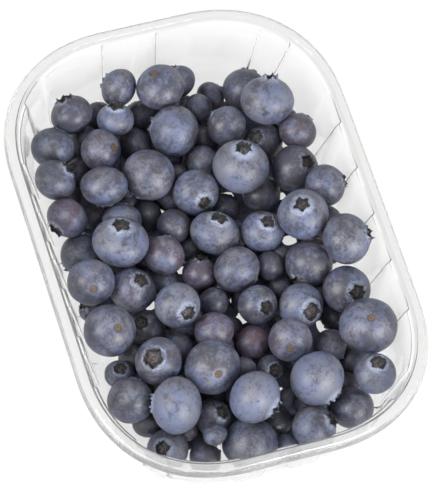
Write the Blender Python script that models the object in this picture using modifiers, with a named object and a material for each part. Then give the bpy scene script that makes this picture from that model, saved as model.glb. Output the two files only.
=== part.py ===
"""Punnet of blueberries: a fluted clear tray and the heap of berries that fills it.

The tray stands on the XY plane with its base centred on the origin and +Z up.
X runs along the tray and Y across it. Sizes are in millimetres until they
reach a mesh, which is in metres.
"""

import math

import bmesh
import bpy
import numpy as np

MM = 0.001
COLLECTION_NAME = "punnet_of_blueberries"

# Tray: overall size, measured over the turned-down skirt of its rim.
TRAY_LENGTH = 187.0
TRAY_WIDTH = 132.2
TRAY_HEIGHT = 37.0
WALL_THICKNESS = 0.5

# Rim, from the outside in: skirt, flat top, step down to the wall.
SKIRT_SPREAD = 1.28
SKIRT_DEPTH = 3.5
RIM_ROUNDING = 0.3
RIM_FLAT = 3.0
STEP_INSET = 3.98
STEP_DEPTH = 2.45
WALL_INSET = 4.1
LEDGE_DEPTH = 3.3

# Walls lean outwards, the long ones more than the short ones.
LONG_WALL_LEAN = 0.235
SHORT_WALL_LEAN = 0.11
BASE_ROUNDING = 6.0
BASE_ROUNDING_STEPS = 3

# Outline: straight runs from the middle of each side, then a full corner.
LONG_STRAIGHT = 42.7
SHORT_STRAIGHT = 15.3
CORNER_FULLNESS = 2.22
CORNER_RUN = 73.0
CORNER_STEP = 7.3

# Flutes stand out from the panels between them and narrow towards the base.
FLUTE_DEPTH = 1.0
FLUTE_RAMP = 1.0
FLUTE_TAPER = 0.045
LONG_SIDE_FLUTES = (0.0, 20.0, 40.0)
LONG_SIDE_FLUTE_WIDTH = 11.3
CORNER_FLUTE_WIDTH = 13.0
SHORT_SIDE_FLUTE = 10.5
SHORT_SIDE_FLUTE_WIDTH = 12.0

# Heap of berries.
FLOOR_GAP = 0.3
WALL_GAP = 0.8
HEAP_CELL = 2.9
HEAP_SPAN = (170.0, 125.0)
HEAP_SINK = -8.0
HEAP_CORE_HEIGHT = 15.0
HEAP_CORE_HALF = (80.0, 52.0)
HEAP_CORE_FULLNESS = 3.0
HEAP_FLAT_ANGLE = 1.0

# Berries are laid along lines that run down from one far point, in this order.
LAYING_POINT = np.array((545.0, -293.0, 1239.0))
LAYING_LEVEL = 20.0
TIER_HEIGHTS = (0.0, 12.0, 18.0, 24.0)
LAYING_STEP = 0.5
LEAST_GAIN = 0.01
HIGHEST_CENTRE = 40.0
LAYING_SQUEEZE = 1.6
JOSTLE_ROUNDS = 60
JOSTLE_SHARE = 0.45

# Each berry: x and y where its line crosses the laying level, diameter, tier.
BERRIES = (
    (-12, -48.5, 15.5, 0), (-66.5, -24, 10.5, 0), (-51, -14, 12.5, 0), (-62, -8.5, 12.5, 0),
    (-58, -33, 12, 0), (-44.5, -38, 11.5, 0), (-63.5, 20, 11, 0), (-19, 26.5, 15, 0),
    (-16.5, 10.5, 11.5, 0),
    (-2.5, 49.5, 10.5, 0), (-46.5, 12, 11.5, 0), (-21, -19.5, 11.5, 0), (-26, -38, 11, 0),
    (-2, -38.5, 10.5, 0), (7, -21.5, 11.5, 0), (19.5, 20, 11, 0), (36.5, 37.5, 11.5, 0),
    (11.5, 21, 11, 0), (79, -27, 12, 0), (72.5, 3, 11, 0), (81.5, 4, 10.5, 0),
    (56.5, 37.5, 11, 0), (65.5, 32, 10.5, 0), (60, -44, 11, 0), (45.5, -42, 10.5, 0),
    (11, -52, 9, 0), (-3.5, -7.5, 11, 0), (-26.5, -9.5, 11.5, 0), (72.5, -39.5, 15.5, 0),
    (79, 14.5, 16.5, 0), (79.5, -9, 19.5, 0), (74, 32.5, 16, 0),
    (-67.5, -34.5, 15.5, 1), (-73.5, 9, 13, 1), (-60, 14, 11, 1), (-63, 33, 17, 1),
    (-40.5, 34, 15, 1), (-38.5, 7.5, 13.5, 1), (-22.5, -27.5, 14, 1),
    (-13.5, -9.5, 13, 1), (7, -6, 13, 1), (23.5, -33, 14, 1), (35, -23.5, 12, 1),
    (19.5, -5, 11, 1), (51.5, 7, 11, 1), (39.5, -47, 11, 1), (65, -19, 14, 1),
    (70.5, -20.5, 8.5, 1), (48, 31.5, 12.5, 1), (39, 4, 12.5, 1), (52, -47.5, 17, 1),
    (-76, -13, 14, 2), (-56.5, -45, 16, 2), (-71, 2.5, 18, 2), (-63, -18.5, 13.5, 2),
    (-53, 2.5, 19, 2), (-52, -27.5, 15.5, 2), (-44.5, -49, 15.5, 2), (-28.5, -48.5, 15, 2),
    (-36, -30.5, 16.5, 2), (-36.5, -12.5, 19.5, 2), (-56, 40, 19.5, 2), (-50, 22, 15, 2),
    (-40, 49, 14, 2), (-26, 42, 18, 2), (-17, 52.5, 15.5, 2), (-25.5, 1.5, 17.5, 2),
    (12, 34, 18, 2), (-7.5, 4, 17.5, 2), (9, 8.5, 17, 2), (-2, 21.5, 16, 2),
    (29.5, 44, 18, 2), (25, 10.5, 15, 2), (29.5, 26, 17, 2), (7, -33.5, 17, 2),
    (-3, -17.5, 15, 2), (31, -8.5, 14.5, 2),
    (-32, 22, 21, 3), (-6, 38.5, 19, 3), (8, 50.5, 18.5, 3), (43.5, 50, 21.5, 3),
    (-12.5, -31.5, 20, 3), (0.5, -48.5, 17.5, 3), (17.5, -18.5, 17, 3), (21, -47, 19.5, 3),
    (37.5, -32, 17.5, 3), (45.5, -13, 20.5, 3), (56, -31.5, 19.5, 3), (42, 18, 16.5, 3),
    (60.5, 22, 20, 3), (60, -2.5, 19, 3), (62.5, 44.5, 15.5, 3),
)


def new_material(name, colour, roughness, transmission=0.0):
    """A Principled material in one colour."""
    material = bpy.data.materials.new(name)
    material.use_nodes = True
    shader = material.node_tree.nodes["Principled BSDF"]
    shader.inputs["Base Color"].default_value = (*colour, 1.0)
    shader.inputs["Roughness"].default_value = roughness
    shader.inputs["Transmission Weight"].default_value = transmission
    return material


def new_object(name, mesh_source, collection, material):
    """Turns a bmesh into an object in the collection."""
    mesh = bpy.data.meshes.new(name)
    mesh_source.to_mesh(mesh)
    mesh_source.free()
    mesh.materials.append(material)
    item = bpy.data.objects.new(name, mesh)
    collection.objects.link(item)
    return item


# Tray outline


def half_sizes(inset):
    """Half length and half width of the outline this far in from the rim's edge."""
    half_length = TRAY_LENGTH / 2 - SKIRT_SPREAD - inset
    half_width = TRAY_WIDTH / 2 - SKIRT_SPREAD - inset
    return half_length, half_width


def wall_half_sizes(z):
    """Half length and half width inside the flutes, at this height above the base."""
    depth = TRAY_HEIGHT - STEP_DEPTH - z
    half_length, half_width = half_sizes(WALL_INSET)
    half_length -= SHORT_WALL_LEAN * depth
    half_width -= LONG_WALL_LEAN * depth
    above_centre = z - WALL_THICKNESS - BASE_ROUNDING
    if above_centre < 0:
        inward = BASE_ROUNDING - math.sqrt(BASE_ROUNDING**2 - above_centre**2)
        half_length -= inward
        half_width -= inward
    return half_length, half_width


def quarter_point(run, half_length, half_width):
    """Point at this run from the middle of the long side, towards the short side's middle."""
    corner_length = half_length - LONG_STRAIGHT
    corner_width = half_width - SHORT_STRAIGHT
    if run <= LONG_STRAIGHT:
        return run, half_width
    if run >= LONG_STRAIGHT + CORNER_RUN:
        return half_length, SHORT_STRAIGHT - (run - LONG_STRAIGHT - CORNER_RUN)
    angle = math.pi / 2 * (run - LONG_STRAIGHT) / CORNER_RUN
    power = 2.0 / CORNER_FULLNESS
    x = LONG_STRAIGHT + corner_length * math.sin(angle) ** power
    y = SHORT_STRAIGHT + corner_width * math.cos(angle) ** power
    return x, y


def flute_edges():
    """Run, inset and sideways taper of every station that a quarter's flutes need."""
    quarter_run = LONG_STRAIGHT + CORNER_RUN + SHORT_STRAIGHT
    flutes = [(centre, LONG_SIDE_FLUTE_WIDTH) for centre in LONG_SIDE_FLUTES]
    flutes.append((LONG_STRAIGHT + CORNER_RUN / 2, CORNER_FLUTE_WIDTH))
    flutes.append((quarter_run - SHORT_SIDE_FLUTE, SHORT_SIDE_FLUTE_WIDTH))
    stations = []
    for centre, width in flutes:
        for side in (-1, 1):
            edge = centre + side * width / 2
            stations.append((edge, 0.0, -side))
            stations.append((edge + side * FLUTE_RAMP, FLUTE_DEPTH, -side))
    return [station for station in stations if 0 < station[0] < quarter_run], flutes


def quarter_stations():
    """All stations of a quarter in order: the flutes' edges and the corner's own steps."""
    stations, flutes = flute_edges()
    steps = int(CORNER_RUN / CORNER_STEP)
    for index in range(steps + 1):
        run = LONG_STRAIGHT + index * CORNER_STEP
        nearest = min(abs(run - station[0]) for station in stations)
        if nearest < CORNER_STEP / 4:
            continue
        in_flute = any(abs(run - centre) < width / 2 for centre, width in flutes)
        stations.append((run, 0.0 if in_flute else FLUTE_DEPTH, 0))
    return sorted(stations)


def ring_points(inset, depth, fluted, lean=0.0):
    """One closed ring of the tray, at this depth below the rim's top."""
    half_length, half_width = half_sizes(inset)
    half_length -= SHORT_WALL_LEAN * lean
    half_width -= LONG_WALL_LEAN * lean
    quarter = []
    for run, panel_inset, taper_side in quarter_stations():
        panel = panel_inset if fluted else 0.0
        taper = taper_side * FLUTE_TAPER * depth if fluted else 0.0
        quarter.append(quarter_point(run + taper, half_length - panel, half_width - panel))
    right_half = quarter + [(x, -y) for x, y in reversed(quarter)]
    ring = right_half + [(-x, -y) for x, y in right_half]
    return [(x * MM, y * MM, (TRAY_HEIGHT - depth) * MM) for x, y in ring]


def tray_rings():
    """Rings from the skirt's lower edge over the rim and down to the floor."""
    rings = [
        ring_points(-SKIRT_SPREAD, SKIRT_DEPTH, False),
        ring_points(-RIM_ROUNDING, RIM_ROUNDING * 1.5, False),
        ring_points(RIM_ROUNDING, 0.0, False),
        ring_points(RIM_FLAT, 0.0, False),
        ring_points(STEP_INSET, STEP_DEPTH, False),
        ring_points(WALL_INSET, LEDGE_DEPTH, True),
    ]
    wall_end = TRAY_HEIGHT - WALL_THICKNESS - BASE_ROUNDING
    for index in range(BASE_ROUNDING_STEPS + 1):
        angle = math.pi / 2 * index / BASE_ROUNDING_STEPS
        depth = wall_end + BASE_ROUNDING * math.sin(angle)
        inward = BASE_ROUNDING * (1 - math.cos(angle))
        lean = wall_end - STEP_DEPTH
        rings.append(ring_points(WALL_INSET + inward, depth, True, lean))
    return rings


def build_tray(collection):
    """The tray: one sheet drawn ring by ring from skirt to floor, then given its thickness."""
    rings = tray_rings()
    sheet = bmesh.new()
    count = len(rings[0])
    bmesh.ops.create_circle(sheet, segments=count, radius=1.0)
    sheet.verts.ensure_lookup_table()
    for vertex, point in zip(sheet.verts, rings[0]):
        vertex.co = point
    edges = list(sheet.edges)
    for ring in rings[1:]:
        extruded = bmesh.ops.extrude_edge_only(sheet, edges=edges)["geom"]
        edges = [item for item in extruded if isinstance(item, bmesh.types.BMEdge)]
        new_verts = [item for item in extruded if isinstance(item, bmesh.types.BMVert)]
        for vertex, point in zip(new_verts, ring):
            vertex.co = point
    bmesh.ops.edgeloop_fill(sheet, edges=edges)
    bmesh.ops.recalc_face_normals(sheet, faces=sheet.faces)
    if max(sheet.faces, key=lambda face: face.calc_area()).normal.z < 0:
        bmesh.ops.reverse_faces(sheet, faces=sheet.faces)
    plastic = new_material("clear_plastic", (0.93, 0.94, 0.95), 0.12, 0.6)
    tray = new_object("tray", sheet, collection, plastic)
    thickness = tray.modifiers.new("wall_thickness", "SOLIDIFY")
    thickness.thickness = WALL_THICKNESS * MM
    thickness.offset = -1.0
    tray.data.shade_smooth()
    tray.data.set_sharp_from_angle(angle=math.radians(35))
    return tray


# Berries


def room_to_wall(x, y, z):
    """Clear distance from a point inside the tray to the panels of its wall."""
    half_length, half_width = wall_half_sizes(z)
    half_length -= FLUTE_DEPTH
    half_width -= FLUTE_DEPTH
    if abs(x) < LONG_STRAIGHT:
        return half_width - abs(y)
    if abs(y) < SHORT_STRAIGHT:
        return half_length - abs(x)
    across = abs(x) - LONG_STRAIGHT
    along = abs(y) - SHORT_STRAIGHT
    u = across / (half_length - LONG_STRAIGHT)
    v = along / (half_width - SHORT_STRAIGHT)
    share = (u**CORNER_FULLNESS + v**CORNER_FULLNESS) ** (1 / CORNER_FULLNESS)
    return (1 / share - 1) * math.hypot(across, along)


def on_laying_line(x, y, z):
    """Where the line that crosses the laying level at (x, y) reaches height z."""
    share = (z - LAYING_LEVEL) / (LAYING_POINT[2] - LAYING_LEVEL)
    start = np.array((x, y, LAYING_LEVEL))
    return start + share * (LAYING_POINT - start)


def lay_berries():
    """Centres and radii: each berry stops at its tier, or where earlier ones hold it."""
    centres = []
    radii = []
    for x, y, diameter, tier in BERRIES:
        radius = diameter / 2
        least = max(TIER_HEIGHTS[tier], radius + WALL_THICKNESS)
        heights = np.arange(least, HIGHEST_CENTRE, LAYING_STEP)
        best_height = least
        best_room = -math.inf
        for height in heights:
            centre = on_laying_line(x, y, height)
            room = room_to_wall(*centre) - radius
            if centres:
                distances = np.linalg.norm(np.array(centres) - centre, axis=1)
                room = min(room, (distances - np.array(radii) - radius).min())
            if room > best_room + LEAST_GAIN:
                best_room = room
                best_height = height
            if room > -LAYING_SQUEEZE:
                break
        centres.append(on_laying_line(x, y, best_height))
        radii.append(radius)
    return np.array(centres), np.array(radii)


def keep_inside(centre, radius):
    """Moves a berry off the floor and the walls."""
    centre[2] = max(centre[2], radius + WALL_THICKNESS + FLOOR_GAP)
    short = radius + WALL_GAP - room_to_wall(*centre)
    if short > 0:
        beyond = centre[:2].copy()
        beyond[0] -= math.copysign(min(abs(beyond[0]), LONG_STRAIGHT), beyond[0])
        beyond[1] -= math.copysign(min(abs(beyond[1]), SHORT_STRAIGHT), beyond[1])
        if abs(centre[0]) < LONG_STRAIGHT:
            beyond[0] = 0.0
        if abs(centre[1]) < SHORT_STRAIGHT:
            beyond[1] = 0.0
        centre[:2] -= short * beyond / max(np.linalg.norm(beyond), 1.0)


def jostle(centres, radii):
    """Pushes berries that press into each other apart, a little at a time."""
    for _ in range(JOSTLE_ROUNDS):
        for index, centre in enumerate(centres):
            apart = centre - centres
            distances = np.linalg.norm(apart, axis=1)
            overlaps = radii + radii[index] - distances
            overlaps[index] = 0.0
            for other in np.flatnonzero(overlaps > 0):
                push = JOSTLE_SHARE * overlaps[other] * apart[other] / distances[other]
                centre += push
                centres[other] -= push
            keep_inside(centre, radii[index])
    return centres


def space_below(x, y):
    """Height of the lowest point above (x, y) that is clear of the tray's floor and walls."""
    height = WALL_THICKNESS + FLOOR_GAP
    while room_to_wall(x, y, height) < WALL_GAP and height < TRAY_HEIGHT:
        height += LAYING_STEP / 2
    return height


def heap_height(x, y, centres, radii):
    """Top of the heap at (x, y), or well below the floor where it has no berry."""
    u = abs(x) / HEAP_CORE_HALF[0]
    v = abs(y) / HEAP_CORE_HALF[1]
    height = HEAP_CORE_HEIGHT * (1 - u**HEAP_CORE_FULLNESS - v**HEAP_CORE_FULLNESS)
    height = max(height, HEAP_SINK)
    spare = radii**2 - (centres[:, 0] - x) ** 2 - (centres[:, 1] - y) ** 2
    over = spare > 0
    if over.any():
        height = max(height, (centres[over, 2] + np.sqrt(spare[over])).max())
    return height


def build_heap(collection):
    """The berries as one solid: a grid raised to their tops, over one laid on the tray."""
    centres, radii = lay_berries()
    centres = jostle(centres, radii)
    sheet = bmesh.new()
    columns = int(HEAP_SPAN[0] / HEAP_CELL)
    rows = int(HEAP_SPAN[1] / HEAP_CELL)
    bmesh.ops.create_grid(sheet, x_segments=columns, y_segments=rows, size=0.5)
    for vertex in sheet.verts:
        x = vertex.co.x * HEAP_SPAN[0]
        y = vertex.co.y * HEAP_SPAN[1]
        thickness = heap_height(x, y, centres, radii) - space_below(x, y)
        vertex.co = (x, y, thickness)
    everything = sheet.verts[:] + sheet.edges[:] + sheet.faces[:]
    bmesh.ops.bisect_plane(
        sheet, geom=everything, plane_co=(0, 0, 0), plane_no=(0, 0, 1), clear_inner=True
    )
    top_faces = sheet.faces[:]
    top_verts = sheet.verts[:]
    copied = bmesh.ops.duplicate(sheet, geom=top_verts + sheet.edges[:] + top_faces)["geom"]
    under_verts = [item for item in copied if isinstance(item, bmesh.types.BMVert)]
    under_faces = [item for item in copied if isinstance(item, bmesh.types.BMFace)]
    bmesh.ops.reverse_faces(sheet, faces=under_faces)
    for vertex in under_verts:
        vertex.co.z = 0.0
    for vertex in sheet.verts:
        vertex.co.z += space_below(vertex.co.x, vertex.co.y)
    bmesh.ops.scale(sheet, vec=(MM, MM, MM), verts=sheet.verts)
    bmesh.ops.remove_doubles(sheet, verts=sheet.verts, dist=0.01 * MM)
    bmesh.ops.recalc_face_normals(sheet, faces=sheet.faces)
    skin = new_material("berry_skin", (0.10, 0.12, 0.20), 0.45)
    heap = new_object("berries", sheet, collection, skin)
    flat = heap.modifiers.new("flat_underside", "DECIMATE")
    flat.decimate_type = "DISSOLVE"
    flat.angle_limit = math.radians(HEAP_FLAT_ANGLE)
    heap.data.shade_smooth()
    return heap


def main():
    """Clears the scene and builds the tray and its berries."""
    for item in list(bpy.data.objects):
        bpy.data.objects.remove(item)
    collection = bpy.data.collections.new(COLLECTION_NAME)
    bpy.context.scene.collection.children.link(collection)
    build_tray(collection)
    build_heap(collection)


main()
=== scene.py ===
"""Looks of the punnet of blueberries: its clear tray, its berries, light and camera.

Sizes in the classes below are in millimetres and become metres where a mesh is made.
"""

import logging
import math
import random
from dataclasses import dataclass, field
from enum import Enum

import bmesh
import bpy
import numpy as np
from mathutils import Matrix, Vector, noise

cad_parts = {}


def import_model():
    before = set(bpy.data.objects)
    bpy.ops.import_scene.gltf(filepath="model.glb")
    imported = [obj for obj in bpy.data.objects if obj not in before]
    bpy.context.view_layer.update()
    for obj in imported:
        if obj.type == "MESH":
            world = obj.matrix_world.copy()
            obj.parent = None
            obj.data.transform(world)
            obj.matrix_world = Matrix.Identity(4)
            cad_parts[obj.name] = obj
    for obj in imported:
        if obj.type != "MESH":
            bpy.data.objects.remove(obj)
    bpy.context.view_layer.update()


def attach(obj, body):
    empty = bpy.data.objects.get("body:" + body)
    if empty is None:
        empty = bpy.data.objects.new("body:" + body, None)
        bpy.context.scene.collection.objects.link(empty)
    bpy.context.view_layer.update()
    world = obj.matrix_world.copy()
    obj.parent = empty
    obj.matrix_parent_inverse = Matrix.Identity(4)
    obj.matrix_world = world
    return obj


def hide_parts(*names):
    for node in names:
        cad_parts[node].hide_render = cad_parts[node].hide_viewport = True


LOG = logging.getLogger("punnet")
MM = 0.001
BODY = "root"


class Tone(Enum):
    """How much bloom a berry carries and how far its skin leans to red: (bloom, red)."""

    DARK = (0.12, 0.1)
    BROWN = (0.10, 0.45)
    MID = (0.42, 0.1)
    TEAL = (0.35, 0.0)
    VIOLET = (0.5, 0.3)
    PURPLE = (0.35, 0.5)
    RED = (0.3, 1.0)
    PINK = (0.45, 0.75)
    LIGHT = (0.68, 0.08)
    PALE = (0.9, 0.05)


class Shows(Enum):
    """Which end of a berry is turned to the front of the heap."""

    NOTHING = "nothing"
    CROWN = "crown"
    SCAR = "scar"


@dataclass(frozen=True)
class BerryPlace:
    """One berry as it is laid.

    x and y are where its laying line crosses the laying level. across and up say where
    on the berry's face, in its radius, the shown end lies, or which way the crown of a
    berry on its side points. flat is the berry's height on its width, and
    pit its crown's size on the usual one.
    """

    x: float
    y: float
    diameter: float
    tier: int
    tone: Tone = Tone.MID
    shows: Shows = Shows.NOTHING
    across: float = 0.0
    up: float = 0.0
    flat: float = 0.87
    pit: float = 1.0


@dataclass(frozen=True)
class ViewPoint:
    """The far point that the heap is laid from and looked at, and the axes seen from it."""

    azimuth: float = 61.48
    elevation: float = 63.03
    roll: float = 12.4
    distance: float = 1367.0
    aim: tuple[float, float, float] = (-0.4, 3.5, 20.0)
    lens: float = 263.1

    def axes(self) -> Matrix:
        """Columns: the view's right, up and towards-the-eye directions."""
        azimuth = math.radians(self.azimuth)
        elevation = math.radians(self.elevation)
        back = Vector(
            (
                math.cos(elevation) * math.sin(azimuth),
                -math.cos(elevation) * math.cos(azimuth),
                math.sin(elevation),
            )
        )
        level = Vector((math.cos(azimuth), math.sin(azimuth), 0.0))
        upright = back.cross(level)
        roll = math.radians(self.roll)
        right = math.cos(roll) * level + math.sin(roll) * upright
        return Matrix((right, back.cross(right), back)).transposed()

    def eye(self) -> Vector:
        """The eye's place, in millimetres."""
        return Vector(self.aim) + self.distance * self.axes().col[2]

    def add_camera(self) -> bpy.types.Object:
        """Makes the scene's camera.

        Returns:
            The camera object, already set as the scene's own.
        """
        data = bpy.data.cameras.new("camera")
        data.lens = self.lens
        data.clip_end = 20.0
        camera = bpy.data.objects.new("camera", data)
        bpy.context.scene.collection.objects.link(camera)
        camera.matrix_world = Matrix.Translation(self.eye() * MM) @ self.axes().to_4x4()
        bpy.context.scene.camera = camera
        return camera


class Graph:
    """Adds nodes to a material and joins them."""

    def __init__(self, name: str) -> None:
        """Starts a material whose Principled shader is already there.

        Args:
            name: the material's name.
        """
        self.material = bpy.data.materials.new(name)
        self.material.use_nodes = True
        self.tree = self.material.node_tree
        self.shader = self.tree.nodes["Principled BSDF"]

    def put(self, node: bpy.types.Node, socket: str | int, value: object) -> None:
        """Sets a node's input to a constant, or joins an output socket to it.

        Args:
            node: the node whose input is set.
            socket: the input's name or number.
            value: a number, a colour or an output socket.
        """
        if isinstance(value, bpy.types.NodeSocket):
            self.tree.links.new(value, node.inputs[socket])
        else:
            node.inputs[socket].default_value = value

    def attribute(self, name: str) -> bpy.types.NodeSocket:
        """The vector that a mesh attribute holds."""
        node = self.tree.nodes.new("ShaderNodeAttribute")
        node.attribute_name = name
        return node.outputs["Vector"]

    def object_place(self) -> bpy.types.NodeSocket:
        """Object coordinates, in metres."""
        return self.tree.nodes.new("ShaderNodeTexCoord").outputs["Object"]

    def split(self, vector: bpy.types.NodeSocket) -> list[bpy.types.NodeSocket]:
        """The three parts of a vector."""
        node = self.tree.nodes.new("ShaderNodeSeparateXYZ")
        self.put(node, 0, vector)
        return list(node.outputs)

    def vector_math(self, operation: str, first: object, second: object) -> bpy.types.NodeSocket:
        """A vector worked out from two others.

        Args:
            operation: Blender's name for the vector operation.
            first: first vector or socket.
            second: second vector or socket.

        Returns:
            The result's socket.
        """
        node = self.tree.nodes.new("ShaderNodeVectorMath")
        node.operation = operation
        self.put(node, 0, first)
        self.put(node, 1, second)
        return node.outputs["Vector"]

    def maths(self, operation: str, first: object, second: object = 0.0) -> bpy.types.NodeSocket:
        """A number worked out from two others.

        Args:
            operation: Blender's name for the operation.
            first: first number or socket.
            second: second number or socket.

        Returns:
            The result's socket.
        """
        node = self.tree.nodes.new("ShaderNodeMath")
        node.operation = operation
        self.put(node, 0, first)
        self.put(node, 1, second)
        return node.outputs["Value"]

    def squared(self, value: bpy.types.NodeSocket) -> bpy.types.NodeSocket:
        """A number times itself."""
        return self.maths("MULTIPLY", value, value)

    def noise(
        self, place: bpy.types.NodeSocket, scale: float, detail: float, distortion: float = 0.0
    ) -> bpy.types.NodeSocket:
        """Soft noise from 0 to 1.

        Args:
            place: the coordinates that it follows.
            scale: how fine it is.
            detail: how many finer layers it has.
            distortion: how far its shapes are pulled about.

        Returns:
            The noise's value.
        """
        node = self.tree.nodes.new("ShaderNodeTexNoise")
        self.put(node, "Vector", place)
        self.put(node, "Scale", scale)
        self.put(node, "Detail", detail)
        self.put(node, "Roughness", 0.6)
        self.put(node, "Distortion", distortion)
        return node.outputs["Fac"]

    def ramp(
        self, value: object, low: float, high: float, start: float = 0.0, end: float = 1.0
    ) -> bpy.types.NodeSocket:
        """A number that eases from start to end as value goes from low to high.

        Args:
            value: the number or socket that is read.
            low: value at the start.
            high: value at the end.
            start: result at low.
            end: result at high.

        Returns:
            The result's socket.
        """
        node = self.tree.nodes.new("ShaderNodeMapRange")
        node.interpolation_type = "SMOOTHSTEP"
        self.put(node, "Value", value)
        self.put(node, "From Min", low)
        self.put(node, "From Max", high)
        self.put(node, "To Min", start)
        self.put(node, "To Max", end)
        return node.outputs["Result"]

    def mix(self, share: object, first: object, second: object) -> bpy.types.NodeSocket:
        """A colour between two others.

        Args:
            share: 0 gives the first colour and 1 the second.
            first: colour or socket.
            second: colour or socket.

        Returns:
            The mixed colour's socket.
        """
        node = self.tree.nodes.new("ShaderNodeMix")
        node.data_type = "RGBA"
        self.put(node, 0, share)
        self.put(node, 6, first)
        self.put(node, 7, second)
        return node.outputs[2]

    def bump(self, height: bpy.types.NodeSocket, depth: float, strength: float) -> None:
        """Roughens the surface.

        Args:
            height: the relief, from 0 to 1.
            depth: the relief's depth, in millimetres.
            strength: how much of it shows.
        """
        node = self.tree.nodes.new("ShaderNodeBump")
        self.put(node, "Height", height)
        self.put(node, "Distance", depth * MM)
        self.put(node, "Strength", strength)
        self.put(self.shader, "Normal", node.outputs["Normal"])


def colour(red: float, green: float, blue: float) -> tuple[float, float, float, float]:
    """A colour as the shaders want it, with full alpha."""
    return (red, green, blue, 1.0)


@dataclass(frozen=True)
class ClearPlastic:
    """Clear thermoformed sheet, slightly milky and not quite flat, with painted shade greying its rim band.
    """

    clear: float = 0.92
    roughness: float = 0.06
    ior: float = 1.34
    tint: tuple[float, float, float] = (0.965, 0.965, 0.96)
    haze: tuple[float, float, float] = (0.93, 0.93, 0.925)
    # painted shade: grey tint laid on the rim band for the light lost through the rim's folds
    rim: tuple[float, float, float] = (0.80, 0.80, 0.795)
    shaded_rim_heights: tuple[float, float] = (33.8, 35.6)
    ripple: float = 0.15

    def build(self) -> bpy.types.Material:
        """Makes the material."""
        graph = Graph("clear_plastic")
        place = graph.object_place()
        drawn = graph.noise(place, 45.0, 2.0)
        tint = graph.mix(graph.ramp(drawn, 0.35, 0.7), colour(*self.tint), colour(*self.haze))
        _, _, height = graph.split(place)
        low, high = self.shaded_rim_heights
        # painted shade: the band between these heights is tinted grey for the light lost through the rim's
        # folds
        tint = graph.mix(graph.ramp(height, low * MM, high * MM), tint, colour(*self.rim))
        graph.put(graph.shader, "Base Color", tint)
        graph.put(graph.shader, "Roughness", self.roughness)
        graph.put(graph.shader, "IOR", self.ior)
        graph.put(graph.shader, "Transmission Weight", self.clear)
        graph.bump(graph.noise(place, 120.0, 2.0), self.ripple, 0.15)
        return graph.material


@dataclass(frozen=True)
class BerrySkin:
    """Dark blue skin under a patchy waxy bloom, rubbed off in places."""

    dark: tuple[float, float, float] = (0.027, 0.028, 0.038)
    red: tuple[float, float, float] = (0.075, 0.028, 0.040)
    bloom: tuple[float, float, float] = (0.108, 0.128, 0.208)
    dusty: tuple[float, float, float] = (0.136, 0.140, 0.178)
    collar: tuple[float, float, float] = (0.24, 0.27, 0.36)
    inside: tuple[float, float, float] = (0.030, 0.026, 0.026)
    scar_ring: tuple[float, float, float] = (0.060, 0.045, 0.045)
    collar_edge: float = 0.30
    collar_end: float = 0.56

    def build(self) -> bpy.types.Material:
        """Makes the material."""
        graph = Graph("berry_skin")
        place = graph.attribute("berry_place")
        bloom_level, redness, seed = graph.split(graph.attribute("berry_tone"))
        across, along, up = graph.split(place)
        out = graph.maths("SQRT", graph.maths("ADD", graph.squared(across), graph.squared(along)))
        shift = graph.tree.nodes.new("ShaderNodeCombineXYZ")
        for part, factor in enumerate((17.0, 31.0, 47.0)):
            graph.put(shift, part, graph.maths("MULTIPLY", seed, factor))
        own = graph.vector_math("ADD", place, shift.outputs[0])
        clouds = graph.noise(own, 1.3, 2.0, 0.6)
        rubs = graph.noise(own, 3.6, 6.0, 1.6)
        specks = graph.noise(own, 13.0, 4.0, 0.4)
        smudges = graph.ramp(graph.noise(own, 2.4, 5.0, 2.2), 0.54, 0.68, 0.0, 0.3)
        dots = graph.ramp(graph.noise(own, 8.5, 2.0), 0.64, 0.70, 0.0, 0.45)
        cover = graph.maths("ADD", graph.maths("MULTIPLY", clouds, 1.2), graph.maths("MULTIPLY", rubs, 1.3))
        cover = graph.maths("ADD", cover, graph.maths("MULTIPLY", specks, 0.35))
        cover = graph.maths("ADD", cover, graph.maths("MULTIPLY", bloom_level, 0.5))
        cover = graph.maths("SUBTRACT", graph.maths("SUBTRACT", cover, smudges), dots)
        cover = graph.ramp(cover, 1.34, 1.98)
        dusty = graph.ramp(graph.noise(own, 1.0, 2.0), 0.40, 0.62)
        bloom = graph.mix(dusty, colour(*self.bloom), colour(*self.dusty))
        skin = graph.mix(redness, colour(*self.dark), colour(*self.red))
        coloured = graph.mix(cover, graph.mix(0.16, skin, bloom), bloom)
        top = graph.ramp(up, 0.5, 0.6)
        collar = graph.ramp(out, self.collar_edge + 0.06, self.collar_end, 1.0, 0.0)
        collar = graph.maths("MULTIPLY", collar, top)
        patchy = graph.ramp(graph.maths("ADD", rubs, graph.maths("MULTIPLY", bloom_level, 0.30)), 0.44, 0.80)
        coloured = graph.mix(graph.maths("MULTIPLY", collar, patchy), coloured, colour(*self.collar))
        bare = graph.maths("MULTIPLY", graph.ramp(out, 0.325, 0.35, 1.0, 0.0), top)
        bare = graph.maths("MULTIPLY", bare, graph.ramp(bloom_level, 0.3, 0.7, 0.9, 0.25))
        coloured = graph.mix(bare, coloured, colour(*self.inside))
        inner = graph.ramp(out, self.collar_edge - 0.01, self.collar_edge + 0.01, 1.0, 0.0)
        coloured = graph.mix(graph.maths("MULTIPLY", inner, top), coloured, colour(*self.inside))
        ring = graph.ramp(out, 0.15, 0.22, 0.8, 0.0)
        ring = graph.maths("MULTIPLY", ring, graph.ramp(up, -0.6, -0.5, 1.0, 0.0))
        coloured = graph.mix(ring, coloured, colour(*self.scar_ring))
        graph.put(graph.shader, "Base Color", coloured)
        graph.put(graph.shader, "Roughness", graph.ramp(cover, 0.0, 1.0, 0.40, 0.50))
        graph.put(graph.shader, "Specular IOR Level", 0.6)
        graph.put(graph.shader, "IOR", 1.45)
        graph.bump(graph.noise(own, 7.0, 4.0), 0.12, 0.3)
        return graph.material


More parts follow.
